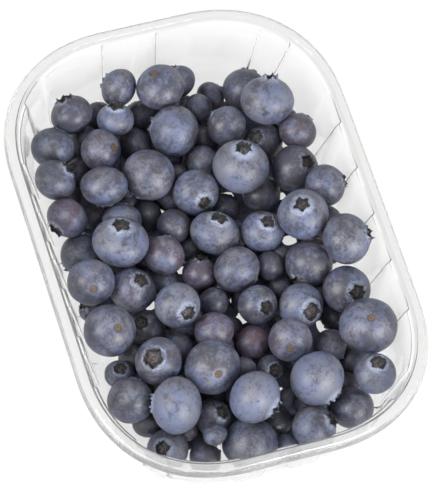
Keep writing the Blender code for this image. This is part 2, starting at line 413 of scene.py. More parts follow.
@dataclass(frozen=True)
class DryPit:
    """Dry lining of a berry's crown: a grey-brown disc in a nearly black wall, the wall's darkness partly
    its own colour and partly painted shade deep in the pit.
    """

    # nearly black: partly the lining's own colour, partly painted shade on the pit's wall
    wall: tuple[float, float, float] = (0.012, 0.011, 0.013)
    disc: tuple[float, float, float] = (0.10, 0.085, 0.085)
    pale_disc: tuple[float, float, float] = (0.22, 0.21, 0.235)

    def build(self) -> bpy.types.Material:
        """Makes the material."""
        graph = Graph("berry_crown")
        place = graph.attribute("berry_place")
        across, along, _ = graph.split(place)
        out = graph.maths("SQRT", graph.maths("ADD", graph.squared(across), graph.squared(along)))
        fibres = graph.noise(graph.object_place(), 900.0, 4.0, 0.5)
        bloom_level, _, seed = graph.split(graph.attribute("berry_tone"))
        rings = graph.maths("SINE", graph.maths("ADD", graph.maths("MULTIPLY", out, 75.0), seed))
        fibres_and_rings = graph.maths("ADD", fibres, graph.maths("MULTIPLY", rings, 0.045))
        # painted shade in part: the lining darkens from the disc out to the pit's wall
        middle = graph.ramp(out, 0.13, 0.25, 1.0, 0.12)
        lit = graph.maths("MULTIPLY", middle, graph.ramp(fibres_and_rings, 0.36, 0.66))
        disc = graph.mix(graph.ramp(bloom_level, 0.6, 0.95), colour(*self.disc), colour(*self.pale_disc))
        graph.put(graph.shader, "Base Color", graph.mix(lit, colour(*self.wall), disc))
        graph.put(graph.shader, "Roughness", 0.75)
        graph.bump(fibres, 0.2, 0.5)
        return graph.material


@dataclass(frozen=True)
class StemScar:
    """Small tan scar where the stalk came off, darker in its middle."""

    tan: tuple[float, float, float] = (0.115, 0.074, 0.043)
    brown: tuple[float, float, float] = (0.055, 0.036, 0.026)

    def build(self) -> bpy.types.Material:
        """Makes the material."""
        graph = Graph("stem_scar")
        across, along, _ = graph.split(graph.attribute("berry_place"))
        out = graph.maths("SQRT", graph.maths("ADD", graph.squared(across), graph.squared(along)))
        fibres = graph.noise(graph.object_place(), 1500.0, 3.0)
        middle = graph.ramp(out, 0.02, 0.06, 0.35, 0.0)
        worn = graph.maths("ADD", middle, graph.ramp(out, 0.10, 0.14, 0.0, 0.3))
        share = graph.ramp(graph.maths("ADD", fibres, worn), 0.45, 0.8)
        graph.put(graph.shader, "Base Color", graph.mix(share, colour(*self.tan), colour(*self.brown)))
        graph.put(graph.shader, "Roughness", 0.85)
        graph.bump(fibres, 0.15, 0.5)
        return graph.material


@dataclass(frozen=True)
class Tray:
    """The clear tray: one thin sheet from its turned-down skirt over the rim to the floor.

    Insets are measured in from the rim's edge and depths down from the rim's top.
    """

    length: float = 187.0
    width: float = 132.2
    height: float = 37.0
    thickness: float = 0.5
    skirt_spread: float = 1.28
    skirt_depth: float = 3.5
    rim_flat: float = 3.0
    step_inset: float = 3.98
    step_depth: float = 2.45
    wall_inset: float = 4.1
    ledge_depth: float = 3.3
    long_wall_lean: float = 0.235
    short_wall_lean: float = 0.11
    base_rounding: float = 6.0
    base_steps: int = 7
    wall_rings: int = 4
    long_straight: float = 42.7
    short_straight: float = 15.3
    corner_fullness: float = 2.22
    corner_run: float = 73.0
    corner_step: float = 2.4
    flute_depth: float = 1.0
    flute_ramp: float = 1.0
    ramp_steps: int = 4
    flute_taper: float = 0.045
    long_side_flutes: tuple[float, ...] = (0.0, 20.0, 40.0)
    long_side_flute_width: float = 11.3
    corner_flute_width: float = 13.0
    short_side_flute: float = 10.5
    short_side_flute_width: float = 12.0
    corner_roundings: tuple[float, ...] = (0.8, 0.5, 0.35, 0.5)
    rounding_steps: int = 4

    def half_sizes(self, inset: float) -> tuple[float, float]:
        """Half length and half width of the outline this far in from the rim's edge."""
        half_length = self.length / 2 - self.skirt_spread - inset
        half_width = self.width / 2 - self.skirt_spread - inset
        return half_length, half_width

    def wall_half_sizes(self, z: float) -> tuple[float, float]:
        """Half length and half width inside the flutes, at this height above the base."""
        depth = self.height - self.step_depth - z
        half_length, half_width = self.half_sizes(self.wall_inset)
        half_length -= self.short_wall_lean * depth
        half_width -= self.long_wall_lean * depth
        above_centre = z - self.thickness - self.base_rounding
        if above_centre < 0:
            inward = self.base_rounding - math.sqrt(self.base_rounding**2 - above_centre**2)
            half_length -= inward
            half_width -= inward
        return half_length, half_width

    def room_to_wall(self, x: float, y: float, z: float) -> float:
        """Clear distance from a point inside the tray to the panels of its wall.

        Args:
            x: place along the tray.
            y: place across the tray.
            z: height above the base.

        Returns:
            The distance, below zero outside the wall.
        """
        half_length, half_width = self.wall_half_sizes(z)
        half_length -= self.flute_depth
        half_width -= self.flute_depth
        if abs(x) < self.long_straight:
            return half_width - abs(y)
        if abs(y) < self.short_straight:
            return half_length - abs(x)
        across = abs(x) - self.long_straight
        along = abs(y) - self.short_straight
        u = across / (half_length - self.long_straight)
        v = along / (half_width - self.short_straight)
        power = self.corner_fullness
        share = (u**power + v**power) ** (1 / power)
        return (1 / share - 1) * math.hypot(across, along)

    def quarter_point(self, run: float, half_length: float, half_width: float) -> tuple[float, float]:
        """Point of the outline at a run from the middle of the long side.

        Args:
            run: how far round towards the middle of the short side.
            half_length: half length of this outline.
            half_width: half width of this outline.

        Returns:
            The point's x and y.
        """
        if run <= self.long_straight:
            return run, half_width
        if run >= self.long_straight + self.corner_run:
            return half_length, self.short_straight - (run - self.long_straight - self.corner_run)
        angle = math.pi / 2 * (run - self.long_straight) / self.corner_run
        power = 2.0 / self.corner_fullness
        x = self.long_straight + (half_length - self.long_straight) * math.sin(angle) ** power
        y = self.short_straight + (half_width - self.short_straight) * math.cos(angle) ** power
        return x, y

    def quarter_stations(self) -> list[tuple[float, float, float]]:
        """Run, inset and sideways taper of every station of a quarter, in order."""
        quarter_run = self.long_straight + self.corner_run + self.short_straight
        flutes = [(centre, self.long_side_flute_width) for centre in self.long_side_flutes]
        flutes.append((self.long_straight + self.corner_run / 2, self.corner_flute_width))
        flutes.append((quarter_run - self.short_side_flute, self.short_side_flute_width))
        stations = []
        for centre, width in flutes:
            for side in (-1, 1):
                for step in range(self.ramp_steps + 1):
                    share = step / self.ramp_steps
                    run = centre + side * (width / 2 + self.flute_ramp * share)
                    eased = share * share * (3 - 2 * share)
                    stations.append((run, self.flute_depth * eased, -side))
        stations = [station for station in stations if 0 < station[0] < quarter_run]
        for index in range(int(self.corner_run / self.corner_step) + 1):
            run = self.long_straight + index * self.corner_step
            if min(abs(run - station[0]) for station in stations) < self.corner_step / 4:
                continue
            in_flute = any(abs(run - centre) < width / 2 for centre, width in flutes)
            stations.append((run, 0.0 if in_flute else self.flute_depth, 0))
        return sorted(stations)

    def ring(self, inset: float, depth: float, fluted: float, lean: float) -> list[Vector]:
        """One closed ring of the sheet.

        Args:
            inset: how far in from the rim's edge.
            depth: how far below the rim's top.
            fluted: how far the flutes are formed, from 0 to 1.
            lean: the depth over which the walls have leaned in.

        Returns:
            The ring's points, in metres.
        """
        half_length, half_width = self.half_sizes(inset)
        half_length -= self.short_wall_lean * lean
        half_width -= self.long_wall_lean * lean
        quarter = []
        for run, panel_inset, side in self.quarter_stations():
            moved = run + side * self.flute_taper * depth * fluted
            panel = panel_inset * fluted
            quarter.append(self.quarter_point(moved, half_length - panel, half_width - panel))
        half = quarter + [(x, -y) for x, y in reversed(quarter)]
        full = half + [(-x, -y) for x, y in half]
        return [Vector((x, y, self.height - depth)) * MM for x, y in full]

    def rim_profile(self) -> list[tuple[float, float, float]]:
        """Inset, depth and fluting down the rim, with its corners rounded."""
        corners = [
            (-self.skirt_spread, self.skirt_depth, 0.0),
            (0.0, 0.0, 0.0),
            (self.rim_flat, 0.0, 0.0),
            (self.step_inset, self.step_depth, 0.0),
            (self.wall_inset, self.ledge_depth, 1.0),
            (self.wall_inset, self.ledge_depth + 1.0, 1.0),
        ]
        rounded = [corners[0]]
        for index, rounding in enumerate(self.corner_roundings, start=1):
            corner = Vector(corners[index])
            before = Vector(corners[index - 1]) - corner
            after = Vector(corners[index + 1]) - corner
            start = corner + before * min(0.45, rounding / before.length)
            end = corner + after * min(0.45, rounding / after.length)
            for step in range(self.rounding_steps + 1):
                share = step / self.rounding_steps
                point = start.lerp(corner, share).lerp(corner.lerp(end, share), share)
                rounded.append(tuple(point))
        return rounded

    def rings(self) -> list[list[Vector]]:
        """Every ring from the skirt's lower edge over the rim and down to the floor."""
        rings = [self.ring(inset, depth, fluted, 0.0) for inset, depth, fluted in self.rim_profile()]
        wall_end = self.height - self.thickness - self.base_rounding
        start = self.ledge_depth + 1.0
        for index in range(self.wall_rings):
            share = index / self.wall_rings
            depth = start + (wall_end - start) * share
            rings.append(self.ring(self.wall_inset, depth, 1.0, depth - self.step_depth))
        lean = wall_end - self.step_depth
        for index in range(self.base_steps + 1):
            angle = math.pi / 2 * index / self.base_steps
            depth = wall_end + self.base_rounding * math.sin(angle)
            inward = self.base_rounding * (1 - math.cos(angle))
            rings.append(self.ring(self.wall_inset + inward, depth, 1.0, lean))
        return rings

    def build(self, material: bpy.types.Material) -> bpy.types.Object:
        """Makes the tray.

        Args:
            material: its plastic.

        Returns:
            The finished piece.
        """
        rings = self.rings()
        sheet = bmesh.new()
        bmesh.ops.create_circle(sheet, segments=len(rings[0]), radius=1.0)
        sheet.verts.ensure_lookup_table()
        for vertex, point in zip(sheet.verts, rings[0]):
            vertex.co = point
        edges = list(sheet.edges)
        for ring in rings[1:]:
            extruded = bmesh.ops.extrude_edge_only(sheet, edges=edges)["geom"]
            edges = [item for item in extruded if isinstance(item, bmesh.types.BMEdge)]
            corners = [item for item in extruded if isinstance(item, bmesh.types.BMVert)]
            for vertex, point in zip(corners, ring):
                vertex.co = point
        bmesh.ops.edgeloop_fill(sheet, edges=edges)
        bmesh.ops.recalc_face_normals(sheet, faces=sheet.faces)
        if max(sheet.faces, key=lambda face: face.calc_area()).normal.z < 0:
            bmesh.ops.reverse_faces(sheet, faces=sheet.faces)
        tray = new_piece("clear_tray", sheet, material)
        wall = tray.modifiers.new("wall_thickness", "SOLIDIFY")
        wall.thickness = self.thickness * MM
        wall.offset = -1.0
        return tray


def new_piece(name: str, source: bmesh.types.BMesh, material: bpy.types.Material) -> bpy.types.Object:
    """Turns a bmesh into a smooth object of the scene.

    Args:
        name: the piece's name.
        source: its shape, which is freed.
        material: its finish.

    Returns:
        The new object.
    """
    mesh = bpy.data.meshes.new(name)
    source.to_mesh(mesh)
    source.free()
    mesh.materials.append(material)
    mesh.shade_smooth()
    piece = bpy.data.objects.new(name, mesh)
    bpy.context.scene.collection.objects.link(piece)
    return piece


@dataclass(frozen=True)
class BerryShape:
    """A blueberry of radius 1 with its crown at +Z and its stem scar at -Z.

    A profile is a list of (distance from the axis, height).
    """

    unevenness: float = 0.026
    oval: float = 0.025
    segments: int = 40
    body_rings: int = 13
    crown_size: float = 2.65
    crown_edge: float = 0.30
    crown_reach: float = 0.66
    most_crown: float = 1.45
    lobes: int = 5
    lobe_rise: float = 0.18
    star_reach: tuple[float, float] = (0.10, 0.34)

    def skin_profile(self) -> list[tuple[float, float]]:
        """Scar dimple, body, collar and the crown's pit, from the bottom to the top."""
        profile = [(0.0, -0.95), (0.07, -0.95), (0.13, -0.955), (0.19, -0.972)]
        for index in range(self.body_rings):
            height = math.radians(-75 + 135 * index / (self.body_rings - 1))
            profile.append((math.cos(height), math.sin(height)))
        profile += [(0.43, 0.903), (0.385, 0.925), (0.35, 0.948), (0.325, 0.966), (0.305, 0.970)]
        profile += [(0.292, 0.955), (0.28, 0.91), (0.25, 0.83), (0.18, 0.79), (0.09, 0.785), (0.0, 0.785)]
        return profile

    def crown_profile(self) -> list[tuple[float, float]]:
        """The dry lining of the pit, from its middle up its wall and back underneath."""
        inside = [(0.0, 0.812), (0.04, 0.806), (0.12, 0.800), (0.19, 0.808), (0.245, 0.845), (0.272, 0.91)]
        under = [(0.287, 0.952), (0.280, 0.93), (0.250, 0.838), (0.18, 0.796), (0.0, 0.790)]
        return inside + under

    def scar_profile(self) -> list[tuple[float, float]]:
        """The scar's disc, from its outer middle round to its hidden one."""
        outer = [(0.0, -0.958), (0.03, -0.962), (0.08, -0.968), (0.12, -0.965)]
        return outer + [(0.145, -0.955), (0.12, -0.94), (0.0, -0.93)]

    def turned(self, name: str, profile: list[tuple[float, float]]) -> bpy.types.Mesh:
        """A closed mesh turned about the axis from a profile.

        Args:
            name: the mesh's name.
            profile: where it starts and ends on the axis.

        Returns:
            The mesh, with its normals out.
        """
        shape = bmesh.new()
        outline = bmesh.ops.create_vert(shape, co=(profile[0][0], 0.0, profile[0][1]))["vert"]
        for distance, height in profile[1:]:
            grown = bmesh.ops.extrude_vert_indiv(shape, verts=outline)
            outline = grown["verts"]
            outline[0].co = (distance, 0.0, height)
        bmesh.ops.spin(
            shape,
            geom=shape.verts[:] + shape.edges[:],
            cent=(0, 0, 0),
            axis=(0, 0, 1),
            angle=math.tau,
            steps=self.segments,
            use_merge=True,
        )
        bmesh.ops.remove_doubles(shape, verts=shape.verts, dist=1e-5)
        bmesh.ops.recalc_face_normals(shape, faces=shape.faces)
        mesh = bpy.data.meshes.new(name)
        shape.to_mesh(mesh)
        shape.free()
        return mesh

    def starred(self, point: Vector, seed: float) -> Vector:
        """Draws the crown's edge into a ragged star whose lobes stand up.

        Args:
            point: a point of the ideal berry.
            seed: this berry's own number.

        Returns:
            The moved point.
        """
        distance = math.hypot(point.x, point.y)
        if point.z < 0 or not 0.1 < distance < 0.46:
            return point
        turn = math.atan2(point.y, point.x) + 0.3 * noise.noise(Vector((point.x * 3, point.y * 3, seed)))
        share = abs((turn * self.lobes / math.tau + seed) % 1.0 - 0.5) * 2
        ragged = noise.noise(Vector((point.x * 14, point.y * 14, seed * 3)))
        near = min(1.0, (distance - 0.1) / 0.12, (0.46 - distance) / 0.12)
        least, most = self.star_reach
        reach = least + (most - least) * (0.5 + 0.5 * math.sin(seed * 11.0))
        star = 1 + near * (reach * share**2.2 - reach / 3 + 0.26 * ragged)
        risen = point.z
        if point.z > 0.94 and distance < 0.34:
            risen += self.lobe_rise * (1 - share) * max(0.0, 0.6 + 1.2 * ragged)
        return Vector((point.x * star, point.y * star, risen))

    def bent(self, point: Vector, seed: float, radius: float, row: BerryPlace) -> Vector:
        """Makes a point of the ideal berry one of an uneven berry.

        Args:
            point: a point of the ideal berry.
            seed: this berry's own number.
            radius: this berry's radius in millimetres, as crowns are much the same size.
            row: how flat it is, and how large its crown.

        Returns:
            The moved point, in berry radii.
        """
        point = self.starred(point, seed)
        distance = math.hypot(point.x, point.y)
        if 1e-6 < distance < self.crown_reach:
            size = self.crown_size * row.pit if point.z > 0 else self.crown_size
            crown_share = min(self.most_crown, size / radius / self.crown_edge)
            near = min(1.0, (self.crown_reach - distance) / (self.crown_reach - self.crown_edge))
            wanted = distance * (1 + (crown_share - 1) * near)
            rise = math.sqrt(1 - wanted**2) - math.sqrt(1 - distance**2)
            height = point.z + math.copysign(1.0, point.z) * rise
            point = Vector((point.x * wanted / distance, point.y * wanted / distance, height))
        way = point.normalized()
        lumps = noise.noise(way * 1.1 + Vector((seed, -seed, seed)))
        lumps += 0.4 * noise.noise(way * 2.3 + Vector((seed, seed, seed)))
        scale = 1 + self.unevenness * lumps
        oval = self.oval * math.sin(seed * 5.0)
        return Vector((point.x * (1 + oval), point.y * (1 - oval), point.z * row.flat)) * scale


class Gathering:
    """Gathers many closed shapes into one piece, and says how each one's skin is drawn."""

    def __init__(self, name: str) -> None:
        """Starts an empty piece.

        Args:
            name: the piece's name.
        """
        self.name = name
        self.shapes = bmesh.new()
        self.places: list[float] = []
        self.tones: list[float] = []

    def add(self, mesh: bpy.types.Mesh, moved: list[Vector], tone: tuple[float, float, float]) -> None:
        """Adds one shape.

        Args:
            mesh: the ideal shape.
            moved: where its points go, in millimetres.
            tone: bloom, redness and the berry's own number.
        """
        first = len(self.shapes.verts)
        self.shapes.from_mesh(mesh)
        self.shapes.verts.ensure_lookup_table()
        for vertex, point in zip(self.shapes.verts[first:], moved):
            self.places.extend(vertex.co)
            self.tones.extend(tone)
            vertex.co = point * MM

    def finish(self, material: bpy.types.Material, slot: str, *nodes: str) -> bpy.types.Object:
        """Makes the piece.

        Args:
            material: its finish.
            slot: not used.
            nodes: the CAD nodes that it stands for.

        Returns:
            The finished piece.
        """
        LOG.info("%s: %d faces", self.name, len(self.shapes.faces))
        piece = new_piece(self.name, self.shapes, material)
        for attribute_name, values in (("berry_place", self.places), ("berry_tone", self.tones)):
            attribute = piece.data.attributes.new(attribute_name, "FLOAT_VECTOR", "POINT")
            attribute.data.foreach_set("vector", values)
        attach(piece, BODY)
        if nodes:
            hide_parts(*nodes)
        return piece


@dataclass
class Berry:
    """One berry in its place, in millimetres."""

    centre: np.ndarray
    radius: float
    row: BerryPlace
    seed: float

BERRIES = (
    BerryPlace(-12, -48.5, 15.5, 0, Tone.TEAL, Shows.NOTHING, -0.7, -0.6, flat=0.95),
    BerryPlace(-66.5, -24, 10.5, 0, Tone.DARK),
    BerryPlace(-51, -14, 12.5, 0, Tone.DARK),
    BerryPlace(-62, -8.5, 12.5, 0, Tone.DARK),
    BerryPlace(-58, -33, 12, 0, Tone.DARK),
    BerryPlace(-44.5, -38, 11.5, 0, Tone.DARK),
    BerryPlace(-63.5, 20, 11, 0, Tone.MID),
    BerryPlace(-19, 26.5, 15, 0, Tone.DARK, Shows.NOTHING, 0.5, -0.5, flat=0.95),
    BerryPlace(-16.5, 10.5, 11.5, 0, Tone.DARK),
    BerryPlace(-2.5, 49.5, 10.5, 0, Tone.MID),
    BerryPlace(-46.5, 12, 11.5, 0, Tone.BROWN),
    BerryPlace(-21, -19.5, 11.5, 0, Tone.DARK),
    BerryPlace(-26, -38, 11, 0, Tone.DARK),
    BerryPlace(-2, -38.5, 10.5, 0, Tone.DARK),
    BerryPlace(7, -21.5, 11.5, 0, Tone.DARK),
    BerryPlace(19.5, 20, 11, 0, Tone.MID),
    BerryPlace(36.5, 37.5, 11.5, 0, Tone.DARK),
    BerryPlace(11.5, 21, 11, 0, Tone.DARK),
    BerryPlace(79, -27, 12, 0, Tone.DARK),
    BerryPlace(72.5, 3, 11, 0, Tone.DARK),
    BerryPlace(81.5, 4, 10.5, 0, Tone.MID),
    BerryPlace(56.5, 37.5, 11, 0, Tone.DARK),
    BerryPlace(65.5, 32, 10.5, 0, Tone.BROWN),
    BerryPlace(60, -44, 11, 0, Tone.DARK),
    BerryPlace(45.5, -42, 10.5, 0, Tone.DARK),
    BerryPlace(11, -52, 9, 0, Tone.DARK, Shows.CROWN, -0.6, 0.5, flat=0.9),
    BerryPlace(-3.5, -7.5, 11, 0, Tone.DARK),
    BerryPlace(-26.5, -9.5, 11.5, 0, Tone.DARK),
    BerryPlace(72.5, -39.5, 15.5, 0, Tone.LIGHT, Shows.CROWN, -0.25, 0.12, flat=0.9),
    BerryPlace(79, 14.5, 16.5, 0, Tone.MID, Shows.CROWN, 0.8, 0.42, flat=0.92),
    BerryPlace(79.5, -9, 19.5, 0, Tone.MID, Shows.NOTHING, 0.1, -0.97, flat=0.9),
    BerryPlace(74, 32.5, 16, 0, Tone.MID, Shows.NOTHING, 0.4, -0.8, flat=0.95),
    BerryPlace(-67.5, -34.5, 15.5, 1, Tone.DARK, Shows.CROWN, -0.42, 0.86, flat=0.85, pit=1.15),
    BerryPlace(-73.5, 9, 13, 1, Tone.MID, Shows.CROWN, -0.52, 0.8),
    BerryPlace(-60, 14, 11, 1, Tone.MID),
    BerryPlace(-63, 33, 17, 1, Tone.DARK, Shows.NOTHING, 0.2, 0.9, flat=0.95),
    BerryPlace(-40.5, 34, 15, 1, Tone.DARK, Shows.CROWN, -0.45, 0.28, flat=0.9),
    BerryPlace(-38.5, 7.5, 13.5, 1, Tone.MID, Shows.NOTHING, 0.9, -0.3, flat=0.92),
    BerryPlace(-22.5, -27.5, 14, 1, Tone.MID, Shows.NOTHING, 0.1, 0.97, flat=0.86),
    BerryPlace(-13.5, -9.5, 13, 1, Tone.DARK, Shows.NOTHING, -0.4, -0.8, flat=0.93),
    BerryPlace(7, -6, 13, 1, Tone.BROWN, Shows.CROWN, 0.05, 0.95, flat=0.92),
    BerryPlace(23.5, -33, 14, 1, Tone.DARK, Shows.CROWN, -0.25, 0.48, flat=0.88),
    BerryPlace(35, -23.5, 12, 1, Tone.MID),
    BerryPlace(19.5, -5, 11, 1, Tone.TEAL, Shows.NOTHING, 0.6, -0.7, flat=0.93),
    BerryPlace(51.5, 7, 11, 1, Tone.MID, Shows.CROWN, 0.38, 0, flat=0.9, pit=1.15),
    BerryPlace(39.5, -47, 11, 1, Tone.LIGHT, Shows.CROWN, 0.08, 0.5, flat=0.9, pit=1.2),
    BerryPlace(65, -19, 14, 1, Tone.MID, Shows.CROWN, 0.55, 0.33, flat=0.9, pit=0.9),
    BerryPlace(70.5, -20.5, 8.5, 1, Tone.MID),
    BerryPlace(48, 31.5, 12.5, 1, Tone.MID, Shows.NOTHING, 0.6, -0.7, flat=0.93),
    BerryPlace(39, 4, 12.5, 1, Tone.RED, Shows.NOTHING, 0.6, -0.7, flat=0.93),
    BerryPlace(52, -47.5, 17, 1, Tone.MID, Shows.NOTHING, 0.3, 0.9, flat=0.95),
    BerryPlace(-76, -13, 14, 2, Tone.MID, Shows.NOTHING, -0.88, 0.45),
    BerryPlace(-56.5, -45, 16, 2, Tone.TEAL, Shows.NOTHING, 0.3, 0.9, flat=0.92),
    BerryPlace(-71, 2.5, 18, 2, Tone.MID, Shows.SCAR, -0.28, 0.62, flat=0.84),
    BerryPlace(-63, -18.5, 13.5, 2, Tone.LIGHT, Shows.CROWN, 0.05, 0.86, flat=0.86, pit=1.1),
    BerryPlace(-53, 2.5, 19, 2, Tone.MID, Shows.NOTHING, -0.93, 0.3, flat=0.95),
    BerryPlace(-52, -27.5, 15.5, 2, Tone.VIOLET, Shows.SCAR, 0.74, 0.14, flat=0.9),
    BerryPlace(-44.5, -49, 15.5, 2, Tone.MID, Shows.CROWN, 0.72, 0.62, flat=0.88),
    BerryPlace(-28.5, -48.5, 15, 2, Tone.PURPLE, Shows.CROWN, -0.62, -0.7, flat=0.88, pit=1.1),
    BerryPlace(-36, -30.5, 16.5, 2, Tone.MID, Shows.NOTHING, 0.05, -0.97, flat=0.82),
    BerryPlace(-36.5, -12.5, 19.5, 2, Tone.MID, Shows.NOTHING, -0.5, -0.8, flat=0.93),
    BerryPlace(-56, 40, 19.5, 2, Tone.LIGHT, Shows.CROWN, 0.12, 0.93, flat=0.9, pit=0.8),
    BerryPlace(-50, 22, 15, 2, Tone.MID, Shows.NOTHING, -0.85, 0.5, flat=0.9),
    BerryPlace(-40, 49, 14, 2, Tone.PURPLE, Shows.NOTHING, 0.5, 0.85, flat=0.95),
    BerryPlace(-26, 42, 18, 2, Tone.DARK, Shows.CROWN, 0.57, 0.3, flat=0.92, pit=0.95),
    BerryPlace(-17, 52.5, 15.5, 2, Tone.MID, Shows.CROWN, 0.97, 0.2, flat=0.95, pit=0.8),
    BerryPlace(-25.5, 1.5, 17.5, 2, Tone.MID, Shows.CROWN, 0.42, -0.5, flat=0.9, pit=0.9),
    BerryPlace(12, 34, 18, 2, Tone.DARK, Shows.CROWN, -0.52, -0.76, flat=0.92),
    BerryPlace(-7.5, 4, 17.5, 2, Tone.LIGHT, Shows.CROWN, 0.22, 0.74, flat=0.82, pit=1.1),
    BerryPlace(9, 8.5, 17, 2, Tone.MID, Shows.NOTHING, 0.7, -0.7, flat=0.94),
    BerryPlace(-2, 21.5, 16, 2, Tone.LIGHT, Shows.CROWN, 0.25, 0.5, flat=0.92, pit=0.95),
    BerryPlace(29.5, 44, 18, 2, Tone.MID, Shows.CROWN, 0.46, -0.12, flat=0.92, pit=1.1),
    BerryPlace(25, 10.5, 15, 2, Tone.MID, Shows.CROWN, 0.48, -0.12, flat=0.92, pit=0.95),
    BerryPlace(29.5, 26, 17, 2, Tone.LIGHT, Shows.CROWN, 0.5, -0.25, flat=0.92, pit=1.25),
    BerryPlace(7, -33.5, 17, 2, Tone.VIOLET, Shows.CROWN, 0.42, 0.5, flat=0.92, pit=1.05),
    BerryPlace(-3, -17.5, 15, 2, Tone.PURPLE, Shows.NOTHING, 0.2, 0.9, flat=0.94),
    BerryPlace(31, -8.5, 14.5, 2, Tone.PINK, Shows.NOTHING, 0.6, -0.7, flat=0.93),
    BerryPlace(-32, 22, 21, 3, Tone.PALE, Shows.CROWN, 0.1, 0.7, flat=0.9, pit=1.2),
    BerryPlace(-6, 38.5, 19, 3, Tone.LIGHT, Shows.CROWN, -0.07, 0.42, flat=0.92, pit=1.05),
    BerryPlace(8, 50.5, 18.5, 3, Tone.MID, Shows.CROWN, 0.93, 0.26, flat=0.92),
    BerryPlace(43.5, 50, 21.5, 3, Tone.MID, Shows.SCAR, 0.06, 0.3, flat=0.97),
    BerryPlace(-12.5, -31.5, 20, 3, Tone.LIGHT, Shows.CROWN, 0.05, 0.74, flat=0.8, pit=1.25),
    BerryPlace(0.5, -48.5, 17.5, 3, Tone.MID, Shows.SCAR, 0.13, -0.3, flat=0.95),
    BerryPlace(17.5, -18.5, 17, 3, Tone.LIGHT, Shows.CROWN, 0.52, -0.35, flat=0.9, pit=1.05),
    BerryPlace(21, -47, 19.5, 3, Tone.MID, Shows.SCAR, 0.36, 0.15, flat=0.95),
    BerryPlace(37.5, -32, 17.5, 3, Tone.MID, Shows.CROWN, -0.24, 0.2, flat=0.9, pit=1.35),
    BerryPlace(45.5, -13, 20.5, 3, Tone.MID, Shows.SCAR, 0.22, -0.24, flat=0.95),
    BerryPlace(56, -31.5, 19.5, 3, Tone.PALE, Shows.NOTHING, -0.99, 0.1, flat=0.86),
    BerryPlace(42, 18, 16.5, 3, Tone.VIOLET, Shows.SCAR, -0.05, -0.43, flat=0.86),
    BerryPlace(60.5, 22, 20, 3, Tone.PALE, Shows.CROWN, 0.66, -0.74, flat=0.93, pit=1.1),
    BerryPlace(60, -2.5, 19, 3, Tone.PALE, Shows.CROWN, 0.84, -0.5, flat=0.88, pit=1.15),
    BerryPlace(62.5, 44.5, 15.5, 3, Tone.LIGHT, Shows.CROWN, 0.15, 0.62, flat=0.92, pit=1.15),
)

# Where the tray's floor shows between berries: x and y at the laying level, and the gap's width.
GAPS = (
    (-55.9, -15.0, 3.0), (-21.6, -13.0, 3.0), (-21.2, 13.4, 3.5), (-17.0, 33.2, 2.0), (-11.1, 28.9, 2.5),
    (2.4, 30.5, 3.0), (18.3, 43.6, 3.0), (39.4, 31.1, 3.0), (14.3, -28.6, 3.0), (4.0, -12.6, 2.5),
    (-0.5, -3.7, 2.0), (4.0, -24.9, 2.0),
)


